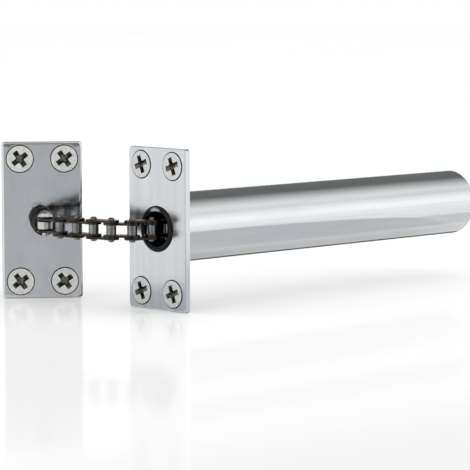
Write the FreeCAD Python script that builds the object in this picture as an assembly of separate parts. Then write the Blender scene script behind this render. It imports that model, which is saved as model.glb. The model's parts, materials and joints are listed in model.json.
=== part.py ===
import FreeCAD, Part
import math
import os

# Concealed door closer, in millimetres.
# The spring tube lies along +X, into the edge of the door. The origin is on the
# tube's axis, in the back face of the face plate. +Z is up, and the chain leaves
# the face plate towards -X and bends round to +Y, where the anchor plate is.

V = FreeCAD.Vector
X_AXIS = V(1, 0, 0)
Z_AXIS = V(0, 0, 1)

# Both plates
PLATE_HEIGHT = 60.0
PLATE_WIDTH = 30.5
PLATE_THICKNESS = 2.4
PLATE_CORNER = 1.2
FACE_PLATE_EDGE = 0.35
ANCHOR_PLATE_EDGE = 0.8
SCREW_SPACING_WIDE = 16.9
SCREW_SPACING_TALL = 47.0

# Countersunk screws
HEAD_DIAMETER = 10.0
HEAD_PROUD = 0.3
HEAD_LAND = 0.55
SHANK_DIAMETER = 4.6
CORE_DIAMETER = 3.4
SCREW_LENGTH = 9.4
POINT_LENGTH = 4.0
MOUTH_CLEARANCE = 0.35
HOLE_CLEARANCE = 0.25
RECESS_SPAN = 6.4
RECESS_WIDTH = 1.35
RECESS_DEPTH = 2.1
RECESS_ROOT = 0.9
FACE_CROSS_TURN = -21
ANCHOR_CROSS_TURN = -36

# Spring tube
TUBE_DIAMETER = 26.0
TUBE_WALL = 1.2
TUBE_LENGTH = 163.0
TUBE_EDGE = 1.5
CAP_THICKNESS = 2.0
CAP_RIM = 5.0
CAP_WALL = 1.4

# Chain guide, the bush that the chain runs through
GUIDE_BORE = 13.4
GUIDE_BODY = 15.2
GUIDE_LIP = 17.2
GUIDE_LENGTH = 14.0
GUIDE_TAIL_FLARE = 0.5
GUIDE_CLEARANCE = 0.1

# Spring, its seat and its piston
SEAT_THICKNESS = 3.0
SEAT_CLEARANCE = 0.1
SPRING_CLEARANCE = 0.8
SPRING_WIRE = 2.6
SPRING_TURNS = 14
PISTON_LENGTH = 6.0
PISTON_CLEARANCE = 0.25
PISTON_SPIGOT = 3.0
SPIGOT_CLEARANCE = 0.4

# Pull rod and its nuts
ROD_DIAMETER = 6.0
ROD_CLEARANCE = 0.1
NUT_ACROSS_FLATS = 10.0
NUT_HEIGHT = 5.0
ROD_TAIL = 3.0
ROD_STOP_GAP = 0.05

# Chain
PITCH = 7.8
LINK_PLATE_HEIGHT = 5.84
LINK_PLATE_WAIST = 4.5
LINK_PLATE_THICKNESS = 0.87
INNER_WIDTH = 3.6
LINK_SIDE_CLEARANCE = 0.06
BUSH_DIAMETER = 3.7
PIN_DIAMETER = 2.3
PIN_CLEARANCE = 0.05
PIN_LENGTH = 9.2
PIN_HEAD_BREAK = 0.3
LINK_COUNT = 12
GUIDE_PIN_X = 3.0
TONGUE_CLEARANCE = 0.08

# How far the chain turns at each pin outside the tube, in degrees, from the
# pin at the guide's mouth to the pin before the anchor
REST_BEND_ANGLES = (21, 31, 23, 4, -1, 6)
ANCHOR_BEND_ANGLE = 42.7

# Anchor
ANCHOR_REACH = 20.1
STUD_DIAMETER = 9.5
STUD_CLEARANCE = 0.06
STUD_SHOULDER = 6.2
STUD_END_BREAK = 0.8
STUD_TAIL = 5.0
TONGUE_HEIGHT = 5.6
EYE_CLEARANCE = 0.05
SLEEVE_DIAMETER = 14.0
SLEEVE_LENGTH = 22.0
SLEEVE_COLLAR = 17.0
SLEEVE_COLLAR_THICKNESS = 1.5
RIVET_HEAD = 5.8
RIVET_HEAD_HEIGHT = 2.2
WASHER_THICKNESS = 0.6
WASHER_DIAMETER = 6.2
RIVET_TAIL = 1.4

# How far a cutting tool runs past what it cuts
OVERCUT = 1.0

# Worked out from the sizes above
TUBE_BORE = TUBE_DIAMETER - 2 * TUBE_WALL
SPRING_DIAMETER = TUBE_BORE - 2 * SPRING_CLEARANCE
INNER_LINK_HALF = INNER_WIDTH / 2 + LINK_PLATE_THICKNESS
OUTER_LINK_INSIDE = INNER_LINK_HALF + LINK_SIDE_CLEARANCE
OUTER_LINK_HALF = OUTER_LINK_INSIDE + LINK_PLATE_THICKNESS
PISTON_X = TUBE_LENGTH - CAP_THICKNESS - ROD_STOP_GAP - ROD_TAIL - 2 * NUT_HEIGHT - PISTON_LENGTH
LINKS_OUTSIDE = len(REST_BEND_ANGLES) + 1


def cylinder(radius, length, start=V(0, 0, 0), axis=X_AXIS):
    return Part.makeCylinder(radius, length, start, axis)


def through_cutter(radius, start_x, end_x):
    """A round tool along X that cuts everything between two places."""
    return cylinder(radius, end_x - start_x + 2 * OVERCUT, V(start_x - OVERCUT, 0, 0))


def box(x0, x1, y0, y1, z0, z1):
    return Part.makeBox(x1 - x0, y1 - y0, z1 - z0, V(x0, y0, z0))


def revolved(profile):
    """Turn a closed outline of (x, radius) points about the X axis."""
    points = [V(x, 0, radius) for x, radius in profile]
    face = Part.Face(Part.makePolygon(points + points[:1]))
    return face.revolve(V(0, 0, 0), X_AXIS, 360)


def hexagon(across_flats, height, x):
    radius = across_flats / math.sqrt(3)
    corners = [
        V(x, radius * math.cos(math.radians(60 * k)), radius * math.sin(math.radians(60 * k)))
        for k in range(7)
    ]
    return Part.Face(Part.makePolygon(corners)).extrude(V(height, 0, 0))


def group(solids):
    return Part.makeCompound(solids)


def screw_places():
    """The four screws of a plate, as (y, z)."""
    half_wide = SCREW_SPACING_WIDE / 2
    half_tall = SCREW_SPACING_TALL / 2
    return [(y, z) for z in (half_tall, -half_tall) for y in (half_wide, -half_wide)]


def chain_headings():
    """The direction of each link from the guide to the anchor, in degrees about Z."""
    headings = [180.0]
    for bend in REST_BEND_ANGLES:
        headings.append(headings[-1] - bend)
    return headings


def chain_pins():
    """Every pin's centre, from the anchor's pin to the rod's."""
    outside = [V(GUIDE_PIN_X, 0, 0)]
    for heading in chain_headings():
        angle = math.radians(heading)
        outside.append(outside[-1] + V(math.cos(angle), math.sin(angle), 0) * PITCH)
    inside = [V(GUIDE_PIN_X + PITCH * k, 0, 0) for k in range(1, LINK_COUNT - LINKS_OUTSIDE + 1)]
    return outside[::-1] + inside


def plate_blank(edge_break):
    """A plate with its back in the plane X = 0, four countersinks and broken front edges."""
    half_y, half_z = PLATE_WIDTH / 2, PLATE_HEIGHT / 2
    blank = box(-PLATE_THICKNESS, 0, -half_y, half_y, -half_z, half_z)
    corners = [e for e in blank.Edges if abs(e.tangentAt(e.FirstParameter).x) > 0.9]
    blank = blank.makeFillet(PLATE_CORNER, corners)
    front = min(blank.Faces, key=lambda f: f.CenterOfMass.x)
    blank = blank.makeChamfer(edge_break, front.Edges)
    for y, z in screw_places():
        blank = blank.cut(countersink(y, z))
    return blank


def countersink(y, z):
    """The conical seat of one screw and its hole, open at the front of the plate."""
    mouth = HEAD_DIAMETER / 2 + MOUTH_CLEARANCE
    hole = SHANK_DIAMETER / 2 + HOLE_CLEARANCE
    profile = [
        (-PLATE_THICKNESS - OVERCUT, 0),
        (-PLATE_THICKNESS - OVERCUT, mouth),
        (-PLATE_THICKNESS, mouth),
        (-PLATE_THICKNESS + mouth - hole, hole),
        (OVERCUT, hole),
        (OVERCUT, 0),
    ]
    tool = revolved(profile)
    tool.translate(V(0, y, z))
    return tool


def rectangle(x, width, height):
    """A closed outline in the plane at x, round the X axis."""
    half_y, half_z = width / 2, height / 2
    corners = [(-half_y, -half_z), (half_y, -half_z), (half_y, half_z), (-half_y, half_z)]
    points = [V(x, y, z) for y, z in corners]
    return Part.makePolygon(points + points[:1])


def cross_recess(face_x, turn):
    """Two crossed wedges that narrow towards the middle of a screw head."""
    slots = []
    for quarter in (0, 90):
        mouth = rectangle(face_x, RECESS_WIDTH, RECESS_SPAN)
        root = rectangle(face_x + RECESS_DEPTH, RECESS_ROOT, RECESS_WIDTH)
        slot = Part.makeLoft([mouth, root], True, True)
        slot.rotate(V(0, 0, 0), X_AXIS, turn + quarter)
        slots.append(slot)
    return slots[0].fuse(slots[1])


def screw(y, z, turn):
    """A countersunk screw whose head stands a little proud of the plate."""
    head, shank, core = HEAD_DIAMETER / 2, SHANK_DIAMETER / 2, CORE_DIAMETER / 2
    face_x = -PLATE_THICKNESS - HEAD_PROUD
    tip_x = face_x + SCREW_LENGTH
    profile = [
        (face_x, 0),
        (face_x, head),
        (face_x + HEAD_LAND, head),
        (face_x + HEAD_LAND + head - shank, shank),
        (tip_x - POINT_LENGTH, shank),
        (tip_x - POINT_LENGTH, core),
        (tip_x, 0),
    ]
    body = revolved(profile).cut(cross_recess(face_x, turn))
    body.translate(V(0, y, z))
    return body


def plate_screws(turn):
    return [screw(y, z, turn) for y, z in screw_places()]


def face_plate():
    hole = GUIDE_BODY / 2 + GUIDE_CLEARANCE
    return plate_blank(FACE_PLATE_EDGE).cut(through_cutter(hole, -PLATE_THICKNESS, 0))


def chain_guide():
    """The bush, with a rounded lip on the face plate and a flared tail."""
    bore, body, lip = GUIDE_BORE / 2, GUIDE_BODY / 2, GUIDE_LIP / 2
    round_radius = (lip - bore) / 2
    middle = bore + round_radius
    front, tail = -PLATE_THICKNESS, GUIDE_LENGTH - PLATE_THICKNESS
    lip_arc = Part.Arc(V(front, 0, lip), V(front - round_radius, 0, middle), V(front, 0, bore))
    rest = [
        V(front, 0, bore),
        V(tail - GUIDE_TAIL_FLARE, 0, bore),
        V(tail, 0, bore + GUIDE_TAIL_FLARE),
        V(tail, 0, body),
        V(front, 0, body),
        V(front, 0, lip),
    ]
    edges = [lip_arc.toShape()]
    edges += [Part.LineSegment(a, b).toShape() for a, b in zip(rest, rest[1:])]
    return Part.Face(Part.Wire(edges)).revolve(V(0, 0, 0), X_AXIS, 360)


def tube_casing():
    """The tube, open at the plate and rolled in a little at the far end."""
    outer, inner = TUBE_DIAMETER / 2, TUBE_BORE / 2
    shell = cylinder(outer, TUBE_LENGTH)
    rim = [e for e in shell.Edges if len(e.Vertexes) == 1 and e.CenterOfMass.x > TUBE_LENGTH / 2]
    shell = shell.makeFillet(TUBE_EDGE, rim)
    return shell.cut(through_cutter(inner, 0, TUBE_LENGTH))


def tube_end_cap():
    """A pressed cup that closes the far end of the tube."""
    outer = TUBE_BORE / 2
    cup = cylinder(outer, CAP_RIM, V(TUBE_LENGTH - CAP_RIM, 0, 0))
    hollow = cylinder(outer - CAP_WALL, CAP_RIM - CAP_THICKNESS, V(TUBE_LENGTH - CAP_RIM, 0, 0))
    return cup.cut(hollow)


def spring_seat():
    """The ring behind the face plate that the front of the spring bears on."""
    ring = cylinder(TUBE_BORE / 2 - SEAT_CLEARANCE, SEAT_THICKNESS)
    return ring.cut(cylinder(GUIDE_BODY / 2 + GUIDE_CLEARANCE, SEAT_THICKNESS))


def pull_spring():
    """The compression spring, from its seat to the piston, of square wire."""
    half = SPRING_WIRE / 2
    middle = SPRING_DIAMETER / 2 - half
    length = PISTON_X - SEAT_THICKNESS - SPRING_WIRE
    helix = Part.makeHelix(length / SPRING_TURNS, length, middle)
    corners = ((-half, -half), (half, -half), (half, half), (-half, half), (-half, -half))
    section = Part.makePolygon([V(middle + out, 0, along) for out, along in corners])
    coil = Part.Wire(helix.Edges).makePipeShell([section], True, True)
    coil.rotate(V(0, 0, 0), V(0, 1, 0), 90)
    coil.translate(V(SEAT_THICKNESS + half, 0, 0))
    return coil


def eyed_tongue(height, length):
    """A flat tongue along +X, rounded about a pin hole at the origin."""
    half = INNER_WIDTH / 2 - TONGUE_CLEARANCE
    radius = height / 2
    blade = cylinder(radius, 2 * half, V(0, 0, -half), Z_AXIS)
    blade = blade.fuse(box(0, length, -radius, radius, -half, half))
    return blade


def pull_rod():
    """The rod through the spring, with a flat tongue that the last links clasp."""
    pin_x = chain_pins()[-1].x
    shoulder = STUD_SHOULDER
    end_x = TUBE_LENGTH - CAP_THICKNESS - ROD_STOP_GAP
    tongue = eyed_tongue(TONGUE_HEIGHT, shoulder)
    tongue.translate(V(pin_x, 0, 0))
    rod = cylinder(ROD_DIAMETER / 2, end_x - pin_x - shoulder, V(pin_x + shoulder, 0, 0))
    hole = cylinder(PIN_DIAMETER / 2 + EYE_CLEARANCE, PIN_LENGTH, V(pin_x, 0, -PIN_LENGTH / 2), Z_AXIS)
    return tongue.fuse(rod).cut(hole).removeSplitter()


def piston():
    """The disc at the back of the spring, with a spigot that centres the last coil."""
    radius = TUBE_BORE / 2 - PISTON_CLEARANCE
    spigot = SPRING_DIAMETER / 2 - SPRING_WIRE - SPIGOT_CLEARANCE
    disc = cylinder(radius, PISTON_LENGTH, V(PISTON_X, 0, 0))
    disc = disc.fuse(cylinder(spigot, PISTON_SPIGOT, V(PISTON_X - PISTON_SPIGOT, 0, 0)))
    bore = ROD_DIAMETER / 2 + ROD_CLEARANCE
    return disc.cut(cylinder(bore, PISTON_SPIGOT + PISTON_LENGTH, V(PISTON_X - PISTON_SPIGOT, 0, 0)))


def rod_nuts():
    """The nut that holds the piston and the nut that locks it."""
    nuts = []
    for k in range(2):
        x = PISTON_X + PISTON_LENGTH + k * NUT_HEIGHT
        nut = hexagon(NUT_ACROSS_FLATS, NUT_HEIGHT, x)
        nuts.append(nut.cut(cylinder(ROD_DIAMETER / 2, NUT_HEIGHT, V(x, 0, 0))))
    return group(nuts)


def link_plate(bottom):
    """One waisted link plate from the pin at the origin to the pin at X = PITCH."""
    radius = LINK_PLATE_HEIGHT / 2
    waist = LINK_PLATE_WAIST / 2
    # the waist is an arc that is tangent to both end circles
    sink = ((PITCH / 2) ** 2 + waist**2 - radius**2) / (2 * (radius - waist))
    centre_y = waist + sink
    reach = radius / math.hypot(PITCH / 2, centre_y)
    touch = (PITCH / 2 * reach, centre_y * reach)
    near, far = V(touch[0], touch[1], bottom), V(PITCH - touch[0], touch[1], bottom)
    near_low, far_low = V(near.x, -near.y, bottom), V(far.x, -far.y, bottom)
    edges = [
        Part.Arc(near, V(PITCH / 2, waist, bottom), far).toShape(),
        Part.Arc(far, V(PITCH + radius, 0, bottom), far_low).toShape(),
        Part.Arc(far_low, V(PITCH / 2, -waist, bottom), near_low).toShape(),
        Part.Arc(near_low, V(-radius, 0, bottom), near).toShape(),
    ]
    return Part.Face(Part.Wire(edges)).extrude(V(0, 0, LINK_PLATE_THICKNESS))


def placed(shape, start, end):
    """Move a shape made along +X from the origin so that it runs from start to end."""
    turn = math.degrees(math.atan2(end.y - start.y, end.x - start.x))
    shape.rotate(V(0, 0, 0), Z_AXIS, turn)
    shape.translate(start)
    return shape


def link_plates(half_inside, near_hole, far_hole):
    """A pair of plates, above and below, with a hole of the given radius at each end."""
    pair = []
    for bottom in (half_inside, -half_inside - LINK_PLATE_THICKNESS):
        plate = link_plate(bottom)
        for x, radius in ((0, near_hole), (PITCH, far_hole)):
            plate = plate.cut(cylinder(radius, LINK_PLATE_THICKNESS, V(x, 0, bottom), Z_AXIS))
        pair.append(plate)
    return pair


def bush(x):
    """A bush pressed into both plates of an inner link."""
    outer = cylinder(BUSH_DIAMETER / 2, 2 * INNER_LINK_HALF, V(x, 0, -INNER_LINK_HALF), Z_AXIS)
    bore = PIN_DIAMETER / 2 + PIN_CLEARANCE
    return outer.cut(cylinder(bore, 2 * INNER_LINK_HALF, V(x, 0, -INNER_LINK_HALF), Z_AXIS))


def link_pin(x):
    """A pin riveted into both plates of an outer link, with its ends broken."""
    pin = cylinder(PIN_DIAMETER / 2, PIN_LENGTH, V(x, 0, -PIN_LENGTH / 2), Z_AXIS)
    return pin.makeChamfer(PIN_HEAD_BREAK, [e for e in pin.Edges if len(e.Vertexes) == 1])


def inner_link(number):
    """Plates and bushes. The link at the anchor is drilled for the rivet in place of one bush."""
    rivet_hole = PIN_DIAMETER / 2 + PIN_CLEARANCE
    bushed = BUSH_DIAMETER / 2
    if number == 1:
        return link_plates(INNER_WIDTH / 2, rivet_hole, bushed), [bush(PITCH)]
    return link_plates(INNER_WIDTH / 2, bushed, bushed), [bush(0), bush(PITCH)]


def outer_link():
    pinned = PIN_DIAMETER / 2
    return link_plates(OUTER_LINK_INSIDE, pinned, pinned), [link_pin(0), link_pin(PITCH)]


def chain():
    """Every link's plates and what joins them, numbered from the anchor."""
    pins = chain_pins()
    nodes = {}
    for number in range(1, LINK_COUNT + 1):
        start, end = pins[number - 1], pins[number]
        inner = number % 2 == 1
        plates, joiners = inner_link(number) if inner else outer_link()
        name = f"link_{number:02d}"
        nodes[f"{name}_plates"] = placed(group(plates), start, end)
        nodes[f"{name}_{'bushes' if inner else 'pins'}"] = placed(group(joiners), start, end)
    return nodes


def at_anchor(shape):
    """Move a shape whose plate back is X = 0 and front is towards -X onto the anchor's axis."""
    pin = chain_pins()[0]
    turn = chain_headings()[-1] - ANCHOR_BEND_ANGLE
    shape.translate(V(ANCHOR_REACH + PLATE_THICKNESS, 0, 0))
    shape.rotate(V(0, 0, 0), Z_AXIS, turn)
    shape.translate(pin)
    return shape


def anchor_plate():
    hole = STUD_DIAMETER / 2 + STUD_CLEARANCE
    return plate_blank(ANCHOR_PLATE_EDGE).cut(through_cutter(hole, -PLATE_THICKNESS, 0))


def anchor_sleeve():
    """The threaded barrel behind the plate, with a collar against the plate's back."""
    barrel = cylinder(SLEEVE_DIAMETER / 2, SLEEVE_LENGTH)
    barrel = barrel.fuse(cylinder(SLEEVE_COLLAR / 2, SLEEVE_COLLAR_THICKNESS))
    return barrel.cut(cylinder(STUD_DIAMETER / 2 + STUD_CLEARANCE, SLEEVE_LENGTH)).removeSplitter()


def anchor_stud():
    """The threaded stud, with a flat tongue between the plates of the first link."""
    pin_x = -PLATE_THICKNESS - ANCHOR_REACH
    length = ANCHOR_REACH - STUD_SHOULDER + PLATE_THICKNESS + SLEEVE_LENGTH + STUD_TAIL
    stud = cylinder(STUD_DIAMETER / 2, length, V(pin_x + STUD_SHOULDER, 0, 0))
    ends = [e for e in stud.Edges if len(e.Vertexes) == 1]
    stud = stud.makeChamfer(STUD_END_BREAK, ends)
    tongue = eyed_tongue(TONGUE_HEIGHT, STUD_SHOULDER)
    tongue.translate(V(pin_x, 0, 0))
    hole = cylinder(PIN_DIAMETER / 2, PIN_LENGTH, V(pin_x, 0, -PIN_LENGTH / 2), Z_AXIS)
    return stud.fuse(tongue).cut(hole).removeSplitter()


def anchor_rivet():
    """The dome-headed rivet through the first link and the stud's tongue."""
    pin_x = -PLATE_THICKNESS - ANCHOR_REACH
    seat_z = INNER_LINK_HALF + LINK_SIDE_CLEARANCE + WASHER_THICKNESS
    low_z = -INNER_LINK_HALF - RIVET_TAIL
    shank = cylinder(PIN_DIAMETER / 2, seat_z - low_z, V(pin_x, 0, low_z), Z_AXIS)
    dome_radius = ((RIVET_HEAD / 2) ** 2 + RIVET_HEAD_HEIGHT**2) / (2 * RIVET_HEAD_HEIGHT)
    ball = Part.makeSphere(dome_radius, V(pin_x, 0, seat_z + RIVET_HEAD_HEIGHT - dome_radius))
    cap = box(pin_x - RIVET_HEAD, pin_x + RIVET_HEAD, -RIVET_HEAD, RIVET_HEAD, seat_z, seat_z + RIVET_HEAD)
    return shank.fuse(ball.common(cap)).removeSplitter()


def anchor_washer():
    pin_x = -PLATE_THICKNESS - ANCHOR_REACH
    bottom = INNER_LINK_HALF + LINK_SIDE_CLEARANCE
    disc = cylinder(WASHER_DIAMETER / 2, WASHER_THICKNESS, V(pin_x, 0, bottom), Z_AXIS)
    return disc.cut(cylinder(PIN_DIAMETER / 2, WASHER_THICKNESS, V(pin_x, 0, bottom), Z_AXIS))


def parts():
    nodes = {
        "face_plate": face_plate(),
        "face_plate_screws": group(plate_screws(FACE_CROSS_TURN)),
        "chain_guide": chain_guide(),
        "tube_casing": tube_casing(),
        "tube_end_cap": tube_end_cap(),
        "spring_seat": spring_seat(),
        "pull_spring": pull_spring(),
        "pull_rod": pull_rod(),
        "piston": piston(),
        "rod_nuts": rod_nuts(),
        "anchor_stud": at_anchor(anchor_stud()),
        "anchor_rivet": at_anchor(anchor_rivet()),
        "anchor_washer": at_anchor(anchor_washer()),
        "anchor_plate": at_anchor(anchor_plate()),
        "anchor_sleeve": at_anchor(anchor_sleeve()),
        "anchor_plate_screws": at_anchor(group(plate_screws(ANCHOR_CROSS_TURN))),
    }
    nodes.update(chain())
    return nodes


def main():
    os.makedirs("parts", exist_ok=True)
    for name, shape in parts().items():
        shape.exportStep(f"parts/{name}.step")


main()
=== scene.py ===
import json
import math

import bmesh
import bpy
from mathutils import Matrix, Vector


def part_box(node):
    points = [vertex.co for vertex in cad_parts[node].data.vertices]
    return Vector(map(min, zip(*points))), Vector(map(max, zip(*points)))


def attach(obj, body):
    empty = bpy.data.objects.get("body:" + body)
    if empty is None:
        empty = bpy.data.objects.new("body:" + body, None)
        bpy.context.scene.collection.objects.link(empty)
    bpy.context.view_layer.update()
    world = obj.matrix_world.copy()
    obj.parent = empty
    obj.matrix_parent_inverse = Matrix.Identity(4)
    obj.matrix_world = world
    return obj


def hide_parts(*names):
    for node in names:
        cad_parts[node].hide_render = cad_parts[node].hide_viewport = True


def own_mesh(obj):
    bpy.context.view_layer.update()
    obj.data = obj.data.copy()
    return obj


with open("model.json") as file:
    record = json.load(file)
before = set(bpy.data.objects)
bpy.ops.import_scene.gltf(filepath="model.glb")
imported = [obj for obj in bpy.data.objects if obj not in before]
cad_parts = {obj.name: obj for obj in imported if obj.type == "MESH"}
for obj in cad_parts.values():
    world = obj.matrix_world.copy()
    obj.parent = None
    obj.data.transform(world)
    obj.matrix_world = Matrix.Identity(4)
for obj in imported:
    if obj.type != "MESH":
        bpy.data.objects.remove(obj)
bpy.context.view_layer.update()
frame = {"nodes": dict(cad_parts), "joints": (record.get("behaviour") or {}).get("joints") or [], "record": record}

MM = 0.001

# Sizes in millimetres and angles in degrees. A dome is given as depths and shares of its radius
PLATE_HEIGHT = 60.0
PLATE_WIDTH = 30.5
PLATE_THICKNESS = 2.4
PLATE_CORNER = 1.2
SCREW_WIDE = 16.9
SCREW_TALL = 47.0
FACE_EDGE = 0.3
ANCHOR_EDGE = 0.8
HOLE_RIM = 0.12
HOLE_EDGE = 0.05
HEAD_DIAMETER = 10.0
HEAD_PROUD = 0.3
HEAD_LAND = 0.55
HEAD_EDGE = 0.14
HEAD_FACE_DEPTH = 0.1
NECK_LENGTH = 0.6
SINK_MOUTH = 10.7
SINK_HOLE = 5.1
SHANK_DIAMETER = 4.6
CORE_DIAMETER = 3.4
SCREW_LENGTH = 9.4
POINT_LENGTH = 4.0
SCREW_LEAD = 1.9
THREAD_STEEPNESS = 2.6
THREAD_TIP_SHARE = 0.02
RECESS_SPAN = 6.7
RECESS_TIP = 2.0
RECESS_NECK = 1.95
RECESS_CORNER = 1.25
RECESS_DEPTH = 2.1
RECESS_OVER = 0.3
RECESS_ROOT = 1.0
RECESS_ROOT_SPAN = 3.0
RECESS_ROOT_CORNER = 0.65
FACE_CROSS_TURN = 21.0
ANCHOR_CROSS_TURN = 36.0
TUBE_DIAMETER = 26.0
TUBE_WALL = 1.2
TUBE_LENGTH = 163.0
TUBE_EDGE = 1.5
TUBE_END_BREAK = 0.1
CAP_THICKNESS = 2.0
CAP_RIM = 5.0
CAP_WALL = 1.4
CAP_EDGE = 0.35
GUIDE_BORE = 13.4
GUIDE_BODY = 15.2
GUIDE_PLAY = 0.2
GUIDE_LIP = 17.2
GUIDE_LIP_OVERHANG = 0.3
GUIDE_OVERHANG_SHARE = 0.7
GUIDE_OVERHANG_DEPTH = 1.2
GUIDE_FUNNEL_DEPTH = 3.0
GUIDE_TAIL_EDGE = 0.5
GUIDE_LENGTH = 14.0
# Where the painted highlight lies on the guide's lip
HIGHLIGHT_RADIUS = 7.1
HIGHLIGHT_HALF_LENGTH = 3.0
HIGHLIGHT_HALF_WIDTH = 0.9
PITCH = 7.8
LINK_HEIGHT = 5.84
LINK_WAIST = 4.5
LINK_THICKNESS = 0.87
LINK_EDGE = 0.11
INNER_WIDTH = 3.6
LINK_SIDE_CLEARANCE = 0.06
BUSH_DIAMETER = 3.7
PIN_DIAMETER = 2.3
PIN_LENGTH = 9.2
PIN_PLAY = 0.05
PIN_DOME = [(0, 0), (0.04, 0.45), (0.16, 0.8), (0.42, 1)]
TURNED_EDGE = 0.08
LINK_COUNT = 12
SPRING_WIRE = 2.6
SPRING_WIRE_EDGE = 0.3
SPRING_TURNS = 14
SPRING_STEPS = 48
STUD_DIAMETER = 9.5
STUD_PLAY = 0.06
STUD_SHOULDER = 6.2
STUD_LEAD = 1.5
STUD_THREAD_DEPTH = 0.75
STUD_LENGTH = 43.3
STUD_END_LENGTH = 0.9
STUD_END_STEP = 0.3
ANCHOR_REACH = 20.1
TONGUE_HEIGHT = 5.6
TONGUE_PLAY = 0.16
TONGUE_ROOT = 0.4
TONGUE_EDGE = 0.65
SLEEVE_DIAMETER = 14.0
SLEEVE_LENGTH = 22.0
SLEEVE_COLLAR = 17.0
SLEEVE_COLLAR_THICKNESS = 1.5
SLEEVE_EDGE = 0.3
RIVET_HEAD = 5.8
RIVET_HEAD_HEIGHT = 2.2
RIVET_TAIL = 1.4
RIVET_DOME = [(0.35, 1), (0.1, 0.75), (0, 0.4), (0, 0)]
WASHER_DIAMETER = 6.2
WASHER_THICKNESS = 0.6

INNER_HALF = INNER_WIDTH / 2 + LINK_THICKNESS
OUTER_INSIDE = INNER_HALF + LINK_SIDE_CLEARANCE

# How meshes are made: counts, small lengths in millimetres, angles in degrees and shares
ROUND_STEPS = 96
EDGE_STEPS = 6
ON_AXIS = 1e-6
WELD = 1e-4
SHARP_ANGLE = 32
NEARLY_STRAIGHT = 8
EDGE_SHARE = 0.45
PLATE_FACING = 0.9
TONGUE_FACING = 0.4

# Where the chain's pins and the anchor are, in metres, from the frame's joints
JOINT = {j["name"]: j for j in frame["joints"]}
PINS = [Vector(JOINT["anchor_hinge"]["pos_m"])]
PINS += [Vector(JOINT[f"link_{n:02d}_hinge"]["pos_m"]) for n in range(1, LINK_COUNT + 1)]
ANCHOR_AXIS = Vector(JOINT["tension_adjust"]["axis"])
ANCHOR_BACK = Vector(JOINT["tension_adjust"]["pos_m"])


# Meshes

def bare_piece(name, mesh, finishes, body, nodes, slot):
    """A piece from a mesh in millimetres, riding on a body in place of CAD nodes."""
    mesh.transform(Matrix.Scale(MM, 4))
    for finish in finishes:
        mesh.materials.append(MATERIALS[finish])
    obj = bpy.data.objects.new(name, mesh)
    bpy.context.scene.collection.objects.link(obj)
    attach(obj, body)
    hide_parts(*nodes)
    return obj


def make_piece(*details):
    """A piece whose large flat faces stay flat in shading beside their rounded edges."""
    modifier = bare_piece(*details).modifiers.new("flat faces stay flat", "WEIGHTED_NORMAL")
    modifier.keep_sharp = True
    modifier.weight = 100


def mesh_from(builder, name, outwards=True):
    """Finish a mesh. The faces of a closed one are turned outwards first."""
    if outwards:
        bmesh.ops.recalc_face_normals(builder, faces=builder.faces)
    mesh = bpy.data.meshes.new(name)
    builder.to_mesh(mesh)
    builder.free()
    return mesh


def join_rings(builder, first, second):
    """A band of four-sided faces between two rings of as many points."""
    for k in range(len(first)):
        nxt = (k + 1) % len(first)
        builder.faces.new((first[k], first[nxt], second[nxt], second[k]))


def closed_tube(builder, rings, name):
    """A mesh through rings of points, closed at both ends."""
    for first, second in zip(rings, rings[1:]):
        join_rings(builder, first, second)
    builder.faces.new(rings[0])
    builder.faces.new(rings[-1])
    return mesh_from(builder, name)


def shade(mesh, angle=SHARP_ANGLE):
    """Smooth faces with sharp edges where the surface turns by more than the angle."""
    for polygon in mesh.polygons:
        polygon.use_smooth = True
    mesh.set_sharp_from_angle(angle=math.radians(angle))
    return mesh


def softened(profile, radius, steps=4):
    """Round each corner of a closed outline of (x, r) points that doesn't lie on the axis."""
    points = [Vector(p) for p in profile]
    result = []
    for k, corner in enumerate(points):
        before, after = points[k - 1], points[(k + 1) % len(points)]
        if corner.y < ON_AXIS:
            result.append(tuple(corner))
            continue
        to_before, to_after = before - corner, after - corner
        turn = to_before.angle(to_after)
        if math.pi - turn < math.radians(NEARLY_STRAIGHT):
            result.append(tuple(corner))
            continue
        longest = min(to_before.length, to_after.length) * EDGE_SHARE
        reach = min(radius / math.tan(turn / 2), longest)
        start = corner + to_before.normalized() * reach
        end = corner + to_after.normalized() * reach
        for i in range(steps + 1):
            t = i / steps
            result.append(tuple(start * (1 - t) ** 2 + corner * 2 * t * (1 - t) + end * t * t))
    return result


def lathe(profile, segments=ROUND_STEPS):
    """Turn a closed outline of (x, radius) points about the X axis into a mesh."""
    builder = bmesh.new()
    rings = []
    for x, radius in profile:
        if radius < ON_AXIS:
            rings.append([builder.verts.new((x, 0, 0))])
            continue
        ring = []
        for k in range(segments):
            angle = 2 * math.pi * k / segments
            ring.append(builder.verts.new((x, radius * math.cos(angle), radius * math.sin(angle))))
        rings.append(ring)
    for first, second in zip(rings, rings[1:] + rings[:1]):
        for k in range(segments):
            a, b = first[k % len(first)], first[(k + 1) % len(first)]
            c, d = second[(k + 1) % len(second)], second[k % len(second)]
            corners = []
            for vertex in (a, b, c, d):
                if vertex not in corners:
                    corners.append(vertex)
            if len(corners) > 2:
                builder.faces.new(corners)
    return mesh_from(builder, "turned")


def circle_points(x, y, radius, count=64):
    angles = [2 * math.pi * k / count for k in range(count)]
    return [(x + radius * math.cos(a), y + radius * math.sin(a)) for a in angles]


def arc_points(x, y, radius, start, end, count=24):
    """Points on an arc, with its angles in degrees."""
    angles = [math.radians(start + (end - start) * k / count) for k in range(count + 1)]
    return [(x + radius * math.cos(a), y + radius * math.sin(a)) for a in angles]


def evaluated_mesh(obj):
    """The mesh that a curve or an object with modifiers comes to."""
    bpy.context.view_layer.update()
    return bpy.data.meshes.new_from_object(obj.evaluated_get(bpy.context.evaluated_depsgraph_get()))


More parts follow.
